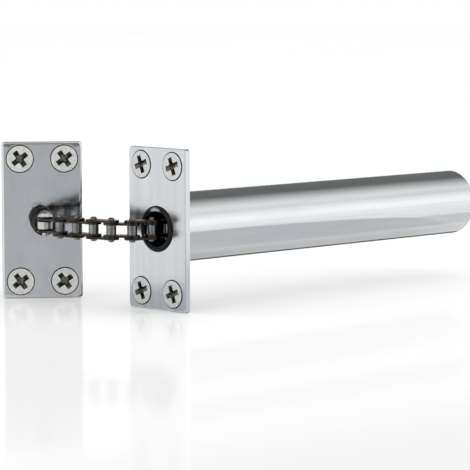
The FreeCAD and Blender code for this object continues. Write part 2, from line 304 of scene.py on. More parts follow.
def flat_mesh(loops, thickness, edge, edge_steps=2):
    """A flat piece in the XY plane from an outline and its holes, with rounded edges."""
    curve = bpy.data.curves.new("outline", "CURVE")
    curve.dimensions = "2D"
    curve.fill_mode = "BOTH"
    curve.extrude = thickness / 2 - edge
    curve.bevel_depth = edge
    curve.bevel_resolution = edge_steps
    curve.offset = -edge
    for loop in loops:
        spline = curve.splines.new("POLY")
        spline.points.add(len(loop) - 1)
        for point, (x, y) in zip(spline.points, loop):
            point.co = (x, y, 0, 1)
        spline.use_cyclic_u = True
    holder = bpy.data.objects.new("outline", curve)
    bpy.context.scene.collection.objects.link(holder)
    mesh = evaluated_mesh(holder)
    bpy.data.objects.remove(holder)
    builder = bmesh.new()
    builder.from_mesh(mesh)
    bmesh.ops.remove_doubles(builder, verts=builder.verts, dist=WELD)
    bmesh.ops.recalc_face_normals(builder, faces=builder.faces)
    builder.to_mesh(mesh)
    builder.free()
    return mesh


def joined(meshes):
    """One mesh out of several, with each one's material index kept."""
    builder = bmesh.new()
    for mesh in meshes:
        builder.from_mesh(mesh)
    return mesh_from(builder, "joined", outwards=False)


def moved(mesh, matrix):
    copy = mesh.copy()
    copy.transform(matrix)
    if matrix.determinant() < 0:
        copy.flip_normals()
    return copy


def upright(mesh):
    """Turn a mesh made about X so that its axis is Z."""
    return moved(mesh, Matrix.Rotation(math.radians(-90), 4, "Y"))


# Material nodes

def new_material(name):
    material = bpy.data.materials.new(name)
    material.use_nodes = True
    nodes = material.node_tree.nodes
    shader = nodes["Principled BSDF"]
    return material, nodes, material.node_tree.links, shader


def stretched_noise(nodes, links, scale, detail=4.0, rough=0.6):
    """Noise whose grain is stretched by a scale for each axis, in the object's own metres."""
    place = nodes.new("ShaderNodeTexCoord")
    mapping = nodes.new("ShaderNodeMapping")
    mapping.inputs["Scale"].default_value = scale
    noise = nodes.new("ShaderNodeTexNoise")
    noise.inputs["Scale"].default_value = 1.0
    noise.inputs["Detail"].default_value = detail
    noise.inputs["Roughness"].default_value = rough
    links.new(place.outputs["Object"], mapping.inputs["Vector"])
    links.new(mapping.outputs["Vector"], noise.inputs["Vector"])
    return noise.outputs["Fac"]


def spread(nodes, links, value, low, high, start=0.3, end=0.7):
    """Map a value between start and end to the range low to high."""
    node = nodes.new("ShaderNodeMapRange")
    node.inputs["From Min"].default_value = start
    node.inputs["From Max"].default_value = end
    node.inputs["To Min"].default_value = low
    node.inputs["To Max"].default_value = high
    links.new(value, node.inputs["Value"])
    return node.outputs["Result"]


def mixed_colour(nodes, links, factor, first, second):
    """Mix two colours, each given as numbers or as a node's output."""
    node = nodes.new("ShaderNodeMix")
    node.data_type = "RGBA"
    links.new(factor, node.inputs[0])
    for socket, colour in ((node.inputs[6], first), (node.inputs[7], second)):
        if isinstance(colour, tuple):
            socket.default_value = (*colour, 1)
        else:
            links.new(colour, socket)
    return node.outputs[2]


def arithmetic(nodes, links, operation, *values):
    """Calculate with values, each given as a number or as a node's output."""
    node = nodes.new("ShaderNodeMath")
    node.operation = operation
    for socket, value in zip(node.inputs, values):
        if isinstance(value, (int, float)):
            socket.default_value = value
        else:
            links.new(value, socket)
    return node.outputs[0]


def bump(nodes, links, shader, height, strength, distance):
    node = nodes.new("ShaderNodeBump")
    node.inputs["Strength"].default_value = strength
    node.inputs["Distance"].default_value = distance
    links.new(height, node.inputs["Height"])
    links.new(node.outputs["Normal"], shader.inputs["Normal"])


def metal(name, dark, light, rough, grain, patches, bump_height=0.00002, bump_strength=0.25, metallic=1.0):
    """A metal with a fine grain and broader patches of tone and roughness."""
    material, nodes, links, shader = new_material(name)
    shader.inputs["Metallic"].default_value = metallic
    fine = stretched_noise(nodes, links, grain, detail=3.0)
    broad = stretched_noise(nodes, links, patches, detail=3.0)
    tone = spread(nodes, links, broad, 0.0, 1.0)
    links.new(mixed_colour(nodes, links, tone, dark, light), shader.inputs["Base Color"])
    half = arithmetic(nodes, links, "MULTIPLY", broad, 0.5)
    both = arithmetic(nodes, links, "MULTIPLY_ADD", fine, 0.5, half)
    links.new(spread(nodes, links, both, *rough), shader.inputs["Roughness"])
    bump(nodes, links, shader, fine, bump_strength, bump_height)
    return material


def plate_material():
    """Satin steel, brushed up and down."""
    return metal(
        "satin_plate_steel", (0.555, 0.575, 0.600), (0.655, 0.670, 0.690), (0.11, 0.24),
        grain=(7000, 7000, 130), patches=(430, 430, 17), bump_height=0.000008,
    )


def anchor_plate_material():
    """The same steel with a smoother finish and broader patches."""
    return metal(
        "dark_satin_steel", (0.63, 0.645, 0.665), (0.72, 0.73, 0.74), (0.05, 0.10),
        grain=(7000, 7000, 130), patches=(110, 110, 60), bump_height=0.000008,
    )


def tube_material():
    """Bright drawn steel with faint lines along the tube."""
    return metal(
        "drawn_tube_steel", (0.62, 0.63, 0.64), (0.70, 0.71, 0.72), (0.10, 0.17),
        grain=(30, 5200, 5200), patches=(14, 120, 120), bump_height=0.000004, bump_strength=0.15,
    )


def screw_material(name, dark, light):
    """Dull nickel with the grain of its barrelled finish."""
    return metal(
        name, dark, light, (0.34, 0.50),
        grain=(5200, 5200, 5200), patches=(700, 700, 700),
        bump_height=0.00003, bump_strength=0.35, metallic=0.55,
    )


def gap_shade_material():
    """Painted shade: near-black on the sunk sides of the screw heads and on the countersinks they sit in, standing
    in for the shadow in the gaps.
    """
    return metal(
        "painted_gap_shade", (0.010, 0.010, 0.010), (0.045, 0.044, 0.042), (0.35, 0.6),
        grain=(4000, 4000, 4000), patches=(900, 900, 900),
    )


def recess_material():
    """Painted shade inside the cross recesses: near-black, broken by lighter random patches."""
    return metal(
        "recess_painted_shade", (0.035, 0.032, 0.028), (0.40, 0.38, 0.34), (0.18, 0.40),
        grain=(4000, 4000, 4000), patches=(1100, 1100, 1100),
    )


def link_material():
    """Burnished dark chain steel, browner in places."""
    return metal(
        "burnished_chain_steel", (0.016, 0.013, 0.011), (0.085, 0.066, 0.052), (0.20, 0.40),
        grain=(3800, 3800, 3800), patches=(330, 330, 330), bump_height=0.00003, bump_strength=0.3,
    )


def bush_material():
    return metal(
        "ground_bush_steel", (0.15, 0.15, 0.148), (0.30, 0.30, 0.295), (0.16, 0.30),
        grain=(1200, 1200, 6500), patches=(420, 420, 420),
    )


def pin_material():
    return metal(
        "ground_pin_steel", (0.14, 0.13, 0.12), (0.36, 0.345, 0.325), (0.16, 0.32),
        grain=(5000, 5000, 2200), patches=(500, 500, 500),
    )


def anchor_material():
    return metal(
        "machined_anchor_steel", (0.48, 0.48, 0.475), (0.68, 0.68, 0.67), (0.20, 0.34),
        grain=(4200, 4200, 4200), patches=(260, 260, 260),
    )


def stud_material():
    """Near-black steel on the stud's thread, its ends and the tongue's faces: painted shade where the stud's end
    lies in shadow.
    """
    return metal(
        "stud_painted_shade", (0.010, 0.010, 0.011), (0.045, 0.046, 0.048), (0.16, 0.32),
        grain=(4200, 4200, 4200), patches=(260, 260, 260),
    )


def rivet_material():
    return metal(
        "polished_rivet_steel", (0.42, 0.425, 0.43), (0.60, 0.605, 0.61), (0.12, 0.24),
        grain=(4200, 4200, 4200), patches=(420, 420, 420),
    )


def inner_material():
    """Zinc plate on the pieces inside the tube."""
    return metal(
        "zinc_inner_steel", (0.40, 0.40, 0.39), (0.58, 0.58, 0.56), (0.28, 0.45),
        grain=(2600, 2600, 2600), patches=(150, 150, 150),
    )


def spring_material():
    return metal(
        "oiled_spring_steel", (0.12, 0.12, 0.125), (0.26, 0.26, 0.265), (0.20, 0.36),
        grain=(2600, 2600, 2600), patches=(240, 240, 240),
    )


def painted_highlight_patch(nodes, links):
    """1 where the top of the guide's lip carries its painted highlight, and 0 elsewhere."""
    place = nodes.new("ShaderNodeTexCoord")
    split = nodes.new("ShaderNodeSeparateXYZ")
    links.new(place.outputs["Object"], split.inputs[0])
    y, z = split.outputs[1], split.outputs[2]
    squares = [arithmetic(nodes, links, "MULTIPLY", v, v) for v in (y, z)]
    radius = arithmetic(nodes, links, "SQRT", arithmetic(nodes, links, "ADD", *squares))
    across = arithmetic(nodes, links, "MULTIPLY", y, 1 / (HIGHLIGHT_HALF_LENGTH * MM))
    out = arithmetic(nodes, links, "SUBTRACT", radius, HIGHLIGHT_RADIUS * MM)
    out = arithmetic(nodes, links, "MULTIPLY", out, 1 / (HIGHLIGHT_HALF_WIDTH * MM))
    reach = [arithmetic(nodes, links, "MULTIPLY", v, v) for v in (across, out)]
    reach = arithmetic(nodes, links, "ADD", *reach)
    inside = spread(nodes, links, reach, low=1.0, high=0.0, start=0.25, end=1.0)
    above = arithmetic(nodes, links, "GREATER_THAN", z, 0.0)
    mottle = stretched_noise(nodes, links, (1500, 1500, 1500))
    broken = spread(nodes, links, mottle, low=0.25, high=1.0, start=0.38, end=0.55)
    patch = arithmetic(nodes, links, "MULTIPLY", inside, above)
    return arithmetic(nodes, links, "MULTIPLY", patch, broken)


def guide_material():
    """Glossy black moulded plastic, with a painted highlight in pale grey on the top of its lip."""
    material, nodes, links, shader = new_material("black_guide_plastic")
    shader.inputs["Specular IOR Level"].default_value = 0.20
    broad = stretched_noise(nodes, links, (300, 300, 300))
    fine = stretched_noise(nodes, links, (2600, 2600, 2600))
    tone = spread(nodes, links, broad, 0.0, 1.0)
    colour = mixed_colour(nodes, links, tone, (0.003, 0.003, 0.0035), (0.009, 0.009, 0.010))
    highlight = painted_highlight_patch(nodes, links)
    # Painted highlight: a pale grey, mottled patch on the top of the lip.
    colour = mixed_colour(nodes, links, highlight, colour, (0.62, 0.62, 0.61))
    links.new(colour, shader.inputs["Base Color"])
    links.new(spread(nodes, links, broad, 0.12, 0.22), shader.inputs["Roughness"])
    bump(nodes, links, shader, fine, strength=0.12, distance=0.00002)
    return material


MATERIALS = {
    "plate_steel": plate_material(),
    "anchor_plate": anchor_plate_material(),
    "tube_steel": tube_material(),
    "screw_steel": screw_material("nickel_screw", (0.56, 0.57, 0.565), (0.72, 0.725, 0.72)),
    "pale_screw": screw_material("pale_nickel_screw", (0.74, 0.745, 0.70), (0.90, 0.90, 0.855)),
    "gap": gap_shade_material(),
    "recess": recess_material(),
    "link_plate_steel": link_material(),
    "bush_steel": bush_material(),
    "pin_steel": pin_material(),
    "anchor_steel": anchor_material(),
    "stud": stud_material(),
    "rivet": rivet_material(),
    "seat_steel": inner_material(),
    "rod_steel": inner_material(),
    "spring_steel": spring_material(),
    "guide_nylon": guide_material(),
}


# Plates and their screws

def screw_places():
    wide, tall = SCREW_WIDE / 2, SCREW_TALL / 2
    return [(y, z) for z in (tall, -tall) for y in (wide, -wide)]


def rounded_rectangle(width, height, radius):
    x, y = width / 2 - radius, height / 2 - radius
    points = []
    for cx, cy, start in ((x, y, 0), (-x, y, 90), (-x, -y, 180), (x, -y, 270)):
        points += arc_points(cx, cy, radius, start, start + 90, 8)
    return points


def plate_mesh(hole_diameter, edge):
    """A plate with its back in the plane X = 0, its front towards -X."""
    mouth, hole, centre = SINK_MOUTH / 2, SINK_HOLE / 2, hole_diameter / 2
    front = -PLATE_THICKNESS
    loops = [rounded_rectangle(PLATE_WIDTH, PLATE_HEIGHT, PLATE_CORNER)]
    loops += [circle_points(y, z, mouth + HOLE_RIM) for y, z in screw_places()]
    loops.append(circle_points(0, 0, centre + HOLE_RIM, ROUND_STEPS))
    pieces = [slab(loops, edge)]
    back_radius = max(hole, mouth - PLATE_THICKNESS)
    cone = [(front, mouth + HOLE_RIM), (front, mouth), (0, back_radius), (0, mouth + HOLE_RIM)]
    seat = lathe(softened(cone, HOLE_EDGE, 2), segments=72)
    # Painted shade: the countersink's cone and hole wall take the near-black gap material, standing in for the
    # shadow between head and seat.
    for polygon in seat.polygons:
        polygon.material_index = 1 if abs(polygon.normal.x) < PLATE_FACING else 0
    pieces += [moved(seat, Matrix.Translation((0, y, z))) for y, z in screw_places()]
    bore = [(front, centre + HOLE_RIM), (front, centre), (0, centre), (0, centre + HOLE_RIM)]
    pieces.append(lathe(softened(bore, HOLE_EDGE, 2)))
    return shade(joined(pieces))


def slab(loops, edge):
    """The plate itself, with its front outline rounded over and every other edge sharp."""
    builder = bmesh.new()
    rings = [[builder.verts.new((0, x, y)) for x, y in loops[0]]]
    for depth, ring in inset_outlines(loops[0], edge):
        rings.append([builder.verts.new((depth - PLATE_THICKNESS, x, y)) for x, y in ring])
    for first, second in zip(rings, rings[1:]):
        join_rings(builder, first, second)
    walls = []
    for x, rim in ((-PLATE_THICKNESS, rings[-1]), (0, rings[0])):
        edges = [builder.edges.get(pair) for pair in zip(rim, rim[1:] + rim[:1])]
        for loop in loops[1:]:
            ring = [builder.verts.new((x, a, b)) for a, b in loop]
            walls.append(ring)
            edges += [builder.edges.new(pair) for pair in zip(ring, ring[1:] + ring[:1])]
        bmesh.ops.triangle_fill(builder, use_beauty=True, use_dissolve=False, edges=edges)
    holes = len(loops) - 1
    for first, second in zip(walls[:holes], walls[holes:]):
        join_rings(builder, first, second)
    return mesh_from(builder, "slab")


def inset_outlines(loop, edge):
    """The outline moved in by a quarter round, as (depth from the front, points)."""
    result = []
    half_x = max(x for x, y in loop)
    half_y = max(y for x, y in loop)
    for k in range(EDGE_STEPS + 1):
        angle = math.radians(90 * k / EDGE_STEPS)
        depth, inset = edge * (1 - math.sin(angle)), edge * (1 - math.cos(angle))
        scale_x, scale_y = (half_x - inset) / half_x, (half_y - inset) / half_y
        result.append((depth, [(x * scale_x, y * scale_y) for x, y in loop]))
    return result


def cross_outline(span, tip, neck, corner):
    """A cross whose arms widen from the neck to the tip, as (y, z) points."""
    arm = [(corner, neck), (span, tip), (span, -tip), (corner, -neck)]
    points = []
    for quarter in range(4):
        turn = Matrix.Rotation(math.radians(-90 * quarter), 2)
        points += [tuple(turn @ Vector(point)) for point in arm]
    return points


def cross_cutter():
    """The tapered cross that cuts the recess."""
    front = -PLATE_THICKNESS - HEAD_PROUD
    top = cross_outline(RECESS_SPAN / 2, RECESS_TIP / 2, RECESS_NECK / 2, RECESS_CORNER)
    low = cross_outline(RECESS_ROOT_SPAN / 2, RECESS_ROOT / 2, RECESS_ROOT / 2, RECESS_ROOT_CORNER)
    grow = RECESS_OVER / RECESS_DEPTH
    high = [(y + (y - v) * grow, z + (z - w) * grow) for (y, z), (v, w) in zip(top, low)]
    builder = bmesh.new()
    first = [builder.verts.new((front - RECESS_OVER, y, z)) for y, z in high]
    second = [builder.verts.new((front + RECESS_DEPTH, y, z)) for y, z in low]
    builder.faces.new(first)
    builder.faces.new(second[::-1])
    for k in range(len(first)):
        nxt = (k + 1) % len(first)
        builder.faces.new((first[k], second[k], second[nxt], first[nxt]))
    return mesh_from(builder, "cross")


def cut(mesh, cutter):
    """Subtract a cutter from a mesh, and give the cut faces the second material."""
    for polygon in cutter.polygons:
        polygon.material_index = 1
    target = bpy.data.objects.new("target", mesh)
    tool = bpy.data.objects.new("tool", cutter)
    for obj in (target, tool):
        bpy.context.scene.collection.objects.link(obj)
        for finish in ("screw_steel", "recess"):
            obj.data.materials.append(MATERIALS[finish])
    modifier = target.modifiers.new("cut", "BOOLEAN")
    modifier.operation = "DIFFERENCE"
    modifier.solver = "EXACT"
    modifier.use_self = True
    modifier.object = tool
    result = evaluated_mesh(target)
    for obj in (target, tool):
        bpy.data.objects.remove(obj)
    indices = [polygon.material_index for polygon in result.polygons]
    result.materials.clear()
    for polygon, kept in zip(result.polygons, indices):
        polygon.material_index = kept
    return result


def thread_mesh(start, end, crest, core, lead, taper=0.0, around=36, per_turn=8):
    """A helical thread about X, tapering to a point over the last stretch before the end."""
    rows = max(4, int((end - start) / lead * per_turn))
    builder = bmesh.new()
    rings = []
    for i in range(rows + 1):
        x = start + (end - start) * i / rows
        shrink = min(1.0, (end - x) / taper) if taper else 1.0
        ring = []
        for k in range(around):
            phase = ((x - start) / lead - k / around) % 1.0
            rise = max(0.0, 1.0 - abs(phase - 0.5) * THREAD_STEEPNESS)
            radius = (core + (crest - core) * rise) * max(shrink, THREAD_TIP_SHARE)
            angle = 2 * math.pi * k / around
            ring.append(builder.verts.new((x, radius * math.cos(angle), radius * math.sin(angle))))
        rings.append(ring)
    return closed_tube(builder, rings, "thread")


def screw_mesh():
    """One countersunk screw on the X axis, with its recess and thread."""
    head, shank, core = HEAD_DIAMETER / 2, SHANK_DIAMETER / 2, CORE_DIAMETER / 2
    front = -PLATE_THICKNESS - HEAD_PROUD
    neck = front + HEAD_LAND + head - shank
    under = neck + NECK_LENGTH
    profile = [(front, 0), (front, head), (front + HEAD_LAND, head)]
    profile += [(neck, shank), (under, core), (under, 0)]
    blank = lathe(softened(profile, HEAD_EDGE), segments=80)
    recessed = cut(blank, cross_cutter())
    for polygon in recessed.polygons:
        # Painted shade: faces cut by the cross take the dark recess material.
        if polygon.material_index == 1:
            polygon.material_index = 2
        # Painted shade: the head's side and underside behind its face take the near-black gap material.
        elif polygon.center.x > front + HEAD_FACE_DEPTH:
            polygon.material_index = 1
    start, end = neck + NECK_LENGTH / 2, front + SCREW_LENGTH
    thread = thread_mesh(start, end, shank, core, SCREW_LEAD, POINT_LENGTH)
    return joined([recessed, thread])


SCREW = screw_mesh()


def four_screws(placement, cross_turn):
    """The four screws of a plate, in one mesh, their crosses all lying one way."""
    turn = Matrix.Rotation(math.radians(-cross_turn), 4, "X")
    copies = [moved(SCREW, placement @ Matrix.Translation((0, y, z)) @ turn) for y, z in screw_places()]
    return shade(joined(copies), angle=28)


def anchor_placement():
    """From a plate's own place, back at X = 0, to the anchor, in millimetres."""
    turn = math.atan2(ANCHOR_AXIS.y, ANCHOR_AXIS.x)
    return Matrix.Translation(ANCHOR_BACK / MM) @ Matrix.Rotation(turn, 4, "Z")


def build_plates():
    here, there = Matrix.Identity(4), anchor_placement()
    plate = plate_mesh(GUIDE_BODY + GUIDE_PLAY, FACE_EDGE)
    finishes = ["plate_steel", "gap"]
    make_piece("face_plate_brushed", plate, finishes, "door_unit", ["face_plate"], "plate_steel")
    plate = moved(plate_mesh(STUD_DIAMETER + 2 * STUD_PLAY, ANCHOR_EDGE), there)
    finishes = ["anchor_plate", "gap"]
    make_piece("anchor_plate_brushed", plate, finishes, "anchor_plate_unit", ["anchor_plate"], "plate_steel")
    screws, nodes = four_screws(here, FACE_CROSS_TURN), ["face_plate_screws"]
    finishes = ["screw_steel", "gap", "recess"]
    make_piece("face_screws_cut", screws, finishes, "door_unit", nodes, "screw_steel")
    screws, nodes = four_screws(there, ANCHOR_CROSS_TURN), ["anchor_plate_screws"]
    finishes = ["pale_screw", "gap", "recess"]
    make_piece("anchor_screws_cut", screws, finishes, "anchor_plate_unit", nodes, "screw_steel")


# Tube, cap and guide

def build_tube():
    outer, inner = TUBE_DIAMETER / 2, TUBE_DIAMETER / 2 - TUBE_WALL
    turned_in = arc_points(0, outer - TUBE_EDGE, TUBE_EDGE, 90, 0, 10)
    profile = [(0, inner), (0, outer - TUBE_END_BREAK), (TUBE_END_BREAK, outer)]
    profile += [(TUBE_LENGTH - TUBE_EDGE + x, y) for x, y in turned_in]
    profile += [(TUBE_LENGTH, inner + TUBE_END_BREAK), (TUBE_LENGTH - TUBE_END_BREAK, inner)]
    tube = shade(lathe(profile, segments=160))
    make_piece("tube_drawn", tube, ["tube_steel"], "door_unit", ["tube_casing"], "tube_steel")
    wall = inner - CAP_WALL
    rim, floor = TUBE_LENGTH - CAP_RIM, TUBE_LENGTH - CAP_THICKNESS
    profile = [(rim, wall), (rim, inner), (TUBE_LENGTH, inner), (TUBE_LENGTH, 0), (floor, 0), (floor, wall)]
    cap = shade(lathe(softened(profile, CAP_EDGE), segments=128))
    make_piece("tube_cap_pressed", cap, ["tube_steel"], "door_unit", ["tube_end_cap"], "tube_steel")


def build_guide():
    bore, body, lip = GUIDE_BORE / 2, GUIDE_BODY / 2, GUIDE_LIP / 2
    proud = (lip - bore) / 2
    roll = proud + GUIDE_LIP_OVERHANG / 2
    front, tail = -PLATE_THICKNESS, GUIDE_LENGTH - PLATE_THICKNESS
    arc = arc_points(0, 0, 1, 0, 180)
    profile = [(front - y * proud, lip - roll + x * roll) for x, y in arc]
    profile.append((front + GUIDE_OVERHANG_DEPTH, bore - GUIDE_LIP_OVERHANG * GUIDE_OVERHANG_SHARE))
    profile += [(front + GUIDE_FUNNEL_DEPTH, bore), (tail - GUIDE_TAIL_EDGE, bore)]
    profile += [(tail, bore + GUIDE_TAIL_EDGE), (tail, body), (front, body)]
    guide = shade(lathe(profile, segments=128))
    make_piece("chain_guide_moulded", guide, ["guide_nylon"], "door_unit", ["chain_guide"], "guide_nylon")


# Chain

def link_outline():
    """The waisted outline of a link plate from the pin at the origin to the one at X = PITCH."""
    radius, waist = LINK_HEIGHT / 2, LINK_WAIST / 2
    half = PITCH / 2
    sink = (half**2 + waist**2 - radius**2) / (2 * (radius - waist))
    centre = waist + sink
    touch = math.degrees(math.atan2(centre, half))
    points = arc_points(0, 0, radius, touch, 360 - touch, 40)
    points += arc_points(half, -centre, sink, 180 - touch, touch, 12)[1:-1]
    points += arc_points(PITCH, 0, radius, touch - 180, 180 - touch, 40)
    points += arc_points(half, centre, sink, -touch, touch - 180, 12)[1:-1]
    return points


def link_plate_mesh(near_hole, far_hole):
    loops = [link_outline(), circle_points(0, 0, near_hole, 40), circle_points(PITCH, 0, far_hole, 40)]
    return flat_mesh(loops, LINK_THICKNESS, LINK_EDGE)


def pin_mesh():
    """A chain pin, its ends riveted over to a low dome."""
    half, radius = PIN_LENGTH / 2, PIN_DIAMETER / 2
    end = [(half - depth, radius * share) for depth, share in PIN_DOME]
    profile = end + [(-x, r) for x, r in end[::-1]]
    return upright(lathe(profile, segments=40))


def bush_mesh():
    outer, bore = BUSH_DIAMETER / 2, PIN_DIAMETER / 2 + PIN_PLAY
    profile = [(-INNER_HALF, bore), (-INNER_HALF, outer), (INNER_HALF, outer), (INNER_HALF, bore)]
    return upright(lathe(softened(profile, TURNED_EDGE, 2), segments=48))


def link_placement(number):
    """From a link's own place, first pin at the origin, to where it lies, in millimetres."""
    start, end = PINS[number - 1], PINS[number]
    heading = math.atan2(end.y - start.y, end.x - start.x)
    return Matrix.Translation(start / MM) @ Matrix.Rotation(heading, 4, "Z")


def build_link(number):
    """One link: its pair of plates, and the bushes or pins that join them."""
    place = link_placement(number)
    inner = number % 2 == 1
    hole = BUSH_DIAMETER / 2 if inner else PIN_DIAMETER / 2
    near = PIN_DIAMETER / 2 + PIN_PLAY if number == 1 else hole
    plate = link_plate_mesh(near, hole)
    middle = (INNER_WIDTH / 2 if inner else OUTER_INSIDE) + LINK_THICKNESS / 2
    pair = joined([moved(plate, place @ Matrix.Translation((0, 0, z))) for z in (middle, -middle)])
    name = f"link_{number:02d}"
    slot = "link_plate_steel"
    make_piece(f"{name}_blanked_plates", shade(pair), [slot], name, [f"{name}_plates"], slot)
    ends = (PITCH,) if number == 1 else (0, PITCH)
    single = bush_mesh() if inner else pin_mesh()
    kind = "bushes" if inner else "pins"
    slot = "bush_steel" if inner else "pin_steel"
    both = joined([moved(single, place @ Matrix.Translation((x, 0, 0))) for x in ends])
    make_piece(f"{name}_turned_{kind}", shade(both), [slot], name, [f"{name}_{kind}"], slot)


# Anchor

def stud_mesh(pin_x):
    """The stud's thread with its two ends, and its flat tongue, on the X axis."""
    shoulder = pin_x + STUD_SHOULDER
    end = shoulder + STUD_LENGTH
    crest = STUD_DIAMETER / 2
    core = crest - STUD_THREAD_DEPTH
    wide, narrow = core + STUD_END_STEP, core - STUD_END_STEP
    first, last = shoulder + STUD_END_LENGTH, end - STUD_END_LENGTH
    thread = thread_mesh(first, last, crest, core, STUD_LEAD, around=64, per_turn=10)
    nose = lathe([(shoulder, 0), (shoulder, narrow), (first, wide), (first, 0)], segments=64)
    tail = lathe([(last, 0), (last, wide), (end, narrow), (end, 0)], segments=64)
    eye, root = TONGUE_HEIGHT / 2, STUD_SHOULDER + TONGUE_ROOT
    tongue = arc_points(0, 0, eye, 90, 270, 32) + [(root, -eye), (root, eye)]
    hole = circle_points(0, 0, PIN_DIAMETER / 2, 40)
    blade = flat_mesh([tongue, hole], INNER_WIDTH - TONGUE_PLAY, TONGUE_EDGE, EDGE_STEPS)
    blade = moved(blade, Matrix.Translation((pin_x, 0, 0)))
    # Painted shade: the tongue's flat faces and the top and bottom of its rounded edges take the near-black stud
    # material, leaving a narrow bright band of anchor steel on its end and sides.
    for polygon in blade.polygons:
        polygon.material_index = 1 if abs(polygon.normal.z) < TONGUE_FACING else 0
    return joined([thread, nose, tail, blade])


def rivet_mesh():
    """The rivet, upright at the origin, with its domed head and its riveted tail."""
    seat, half = INNER_HALF + LINK_SIDE_CLEARANCE + WASHER_THICKNESS, RIVET_HEAD / 2
    radius = (half**2 + RIVET_HEAD_HEIGHT**2) / (2 * RIVET_HEAD_HEIGHT)
    centre = seat + RIVET_HEAD_HEIGHT - radius
    widest = math.degrees(math.asin(min(1.0, half / radius)))
    dome = [(centre + y, x) for x, y in arc_points(0, 0, radius, 90, 90 - widest, 16)]
    shank, low = PIN_DIAMETER / 2, -INNER_HALF - RIVET_TAIL
    profile = [(x, r if r > WELD else 0) for x, r in dome] + [(seat, shank)]
    profile += [(low + rise, shank * share) for rise, share in RIVET_DOME]
    return upright(lathe(profile, segments=64))


def washer_mesh():
    bottom, radius, shank = INNER_HALF + LINK_SIDE_CLEARANCE, WASHER_DIAMETER / 2, PIN_DIAMETER / 2
    top = bottom + WASHER_THICKNESS
    ring = [(bottom, shank), (bottom, radius), (top, radius), (top, shank)]
    return upright(lathe(softened(ring, TURNED_EDGE, 2), segments=64))


def sleeve_mesh():
    """The barrel behind the anchor plate, with its collar, on the X axis."""
    bore, barrel, collar = STUD_DIAMETER / 2 + STUD_PLAY, SLEEVE_DIAMETER / 2, SLEEVE_COLLAR / 2
    step = SLEEVE_COLLAR_THICKNESS
    profile = [(0, bore), (0, collar), (step, collar), (step, barrel)]
    profile += [(SLEEVE_LENGTH, barrel), (SLEEVE_LENGTH, bore)]
    return lathe(softened(profile, SLEEVE_EDGE, 3))


def build_anchor():
    place = anchor_placement()
    pin_x = -PLATE_THICKNESS - ANCHOR_REACH
    at_pin = place @ Matrix.Translation((pin_x, 0, 0))
    slot = "anchor_steel"
    stud = shade(moved(stud_mesh(pin_x), place), angle=34)
    make_piece("anchor_stud_threaded", stud, ["stud", "anchor_steel"], "anchor", ["anchor_stud"], slot)
    rivet = shade(moved(rivet_mesh(), at_pin))
    make_piece("anchor_rivet_domed", rivet, ["rivet"], "anchor", ["anchor_rivet"], "pin_steel")
    washer = shade(moved(washer_mesh(), at_pin))
    slot = "link_plate_steel"
    make_piece("anchor_washer_stamped", washer, [slot], "anchor", ["anchor_washer"], slot)
    sleeve = shade(moved(sleeve_mesh(), place))
    slot = "anchor_steel"
    make_piece("anchor_sleeve_turned", sleeve, [slot], "anchor_plate_unit", ["anchor_sleeve"], slot)


# Pieces inside the tube: the spring is wound anew, the others keep their CAD meshes

def build_spring():
    """The square-wire spring, which closes up as the rod pulls the piston forward."""
    low, high = (Vector(corner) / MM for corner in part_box("pull_spring"))
    half, middle = SPRING_WIRE / 2, high.y - SPRING_WIRE / 2
    start, end = low.x + half, high.x - half
    bevel = half - SPRING_WIRE_EDGE
    section = [(half, bevel), (bevel, half), (-bevel, half), (-half, bevel)]
    section += [(-a, -b) for a, b in section]
    steps = SPRING_TURNS * SPRING_STEPS
    builder = bmesh.new()
    rings = []
    for k in range(steps + 1):
        angle = 2 * math.pi * k / SPRING_STEPS
        x = start + (end - start) * k / steps
        ring = []
        for out, along in section:
            radius = middle + out
            ring.append(builder.verts.new((x + along, radius * math.sin(angle), -radius * math.cos(angle))))
        rings.append(ring)
    wound = shade(closed_tube(builder, rings, "wound"), angle=50)
    slot = "spring_steel"
    spring = bare_piece("pull_spring_wound", wound, [slot], "door_unit", ["pull_spring"], slot)
    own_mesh(spring)


def finish_inner_pieces():
    """Give the hidden pieces that keep their CAD meshes a procedural material each."""
    slots = {s["node"]: s["material_slot"] for s in frame["record"]["subparts"]}
    for name in ("spring_seat", "pull_rod", "piston", "rod_nuts"):
        node = frame["nodes"][name]
        node.data.materials.clear()
        node.data.materials.append(MATERIALS[slots[name]])


# Floor, light and camera, in metres and degrees, with the sensor in millimetres

FLOOR_Z = -PLATE_HEIGHT / 2 * MM
FLOOR_SIDE = 9
CAMERA_PLACE = Vector((-0.6035, -0.6594, 0.0890))
CAMERA_HEADING = -44.20
CAMERA_PITCH = 5.842
FOCAL_PIXELS = 2433.0
PICTURE_SIDE = 470
SENSOR = 36.0
CLIP_START, CLIP_END = 0.01, 20
FLOOR_GLOSS = 0.20
FLOOR_LIFT = 0.055
SOFTBOX_LOW = -1.5
SOFTBOX_HIGH = 47.0
SOFTBOX_RADIUS = 0.90
SOFTBOX_X = (0.10, 1.90)
SOFTBOX_BRIGHTNESS = 1.39
SOFTBOX_BOTTOM, SOFTBOX_TOP = 0.80, 0.62
SOFTBOX_BETWEEN = ((0.35, 0.96), (0.7, 0.82))
CANOPY_FADE = 0.40
CANOPY_START = 62.0
CANOPY_END = 164.0
CANOPY_RADIUS = 0.95
CANOPY_X = (-0.30, 2.60)
CANOPY_COLOUR = (0.17, 0.18, 0.175)
SIDE_CARD_MIDDLE = (-0.84, -0.92)
SIDE_CARD_WIDTH = 1.0
SIDE_CARD_TOP = 0.80
SIDE_CARD_COLOUR = (0.22, 0.225, 0.23)
FLOOR_CARD_GAP = 0.0004
FRONT_CARD_COLOUR = (0.52, 0.53, 0.55)
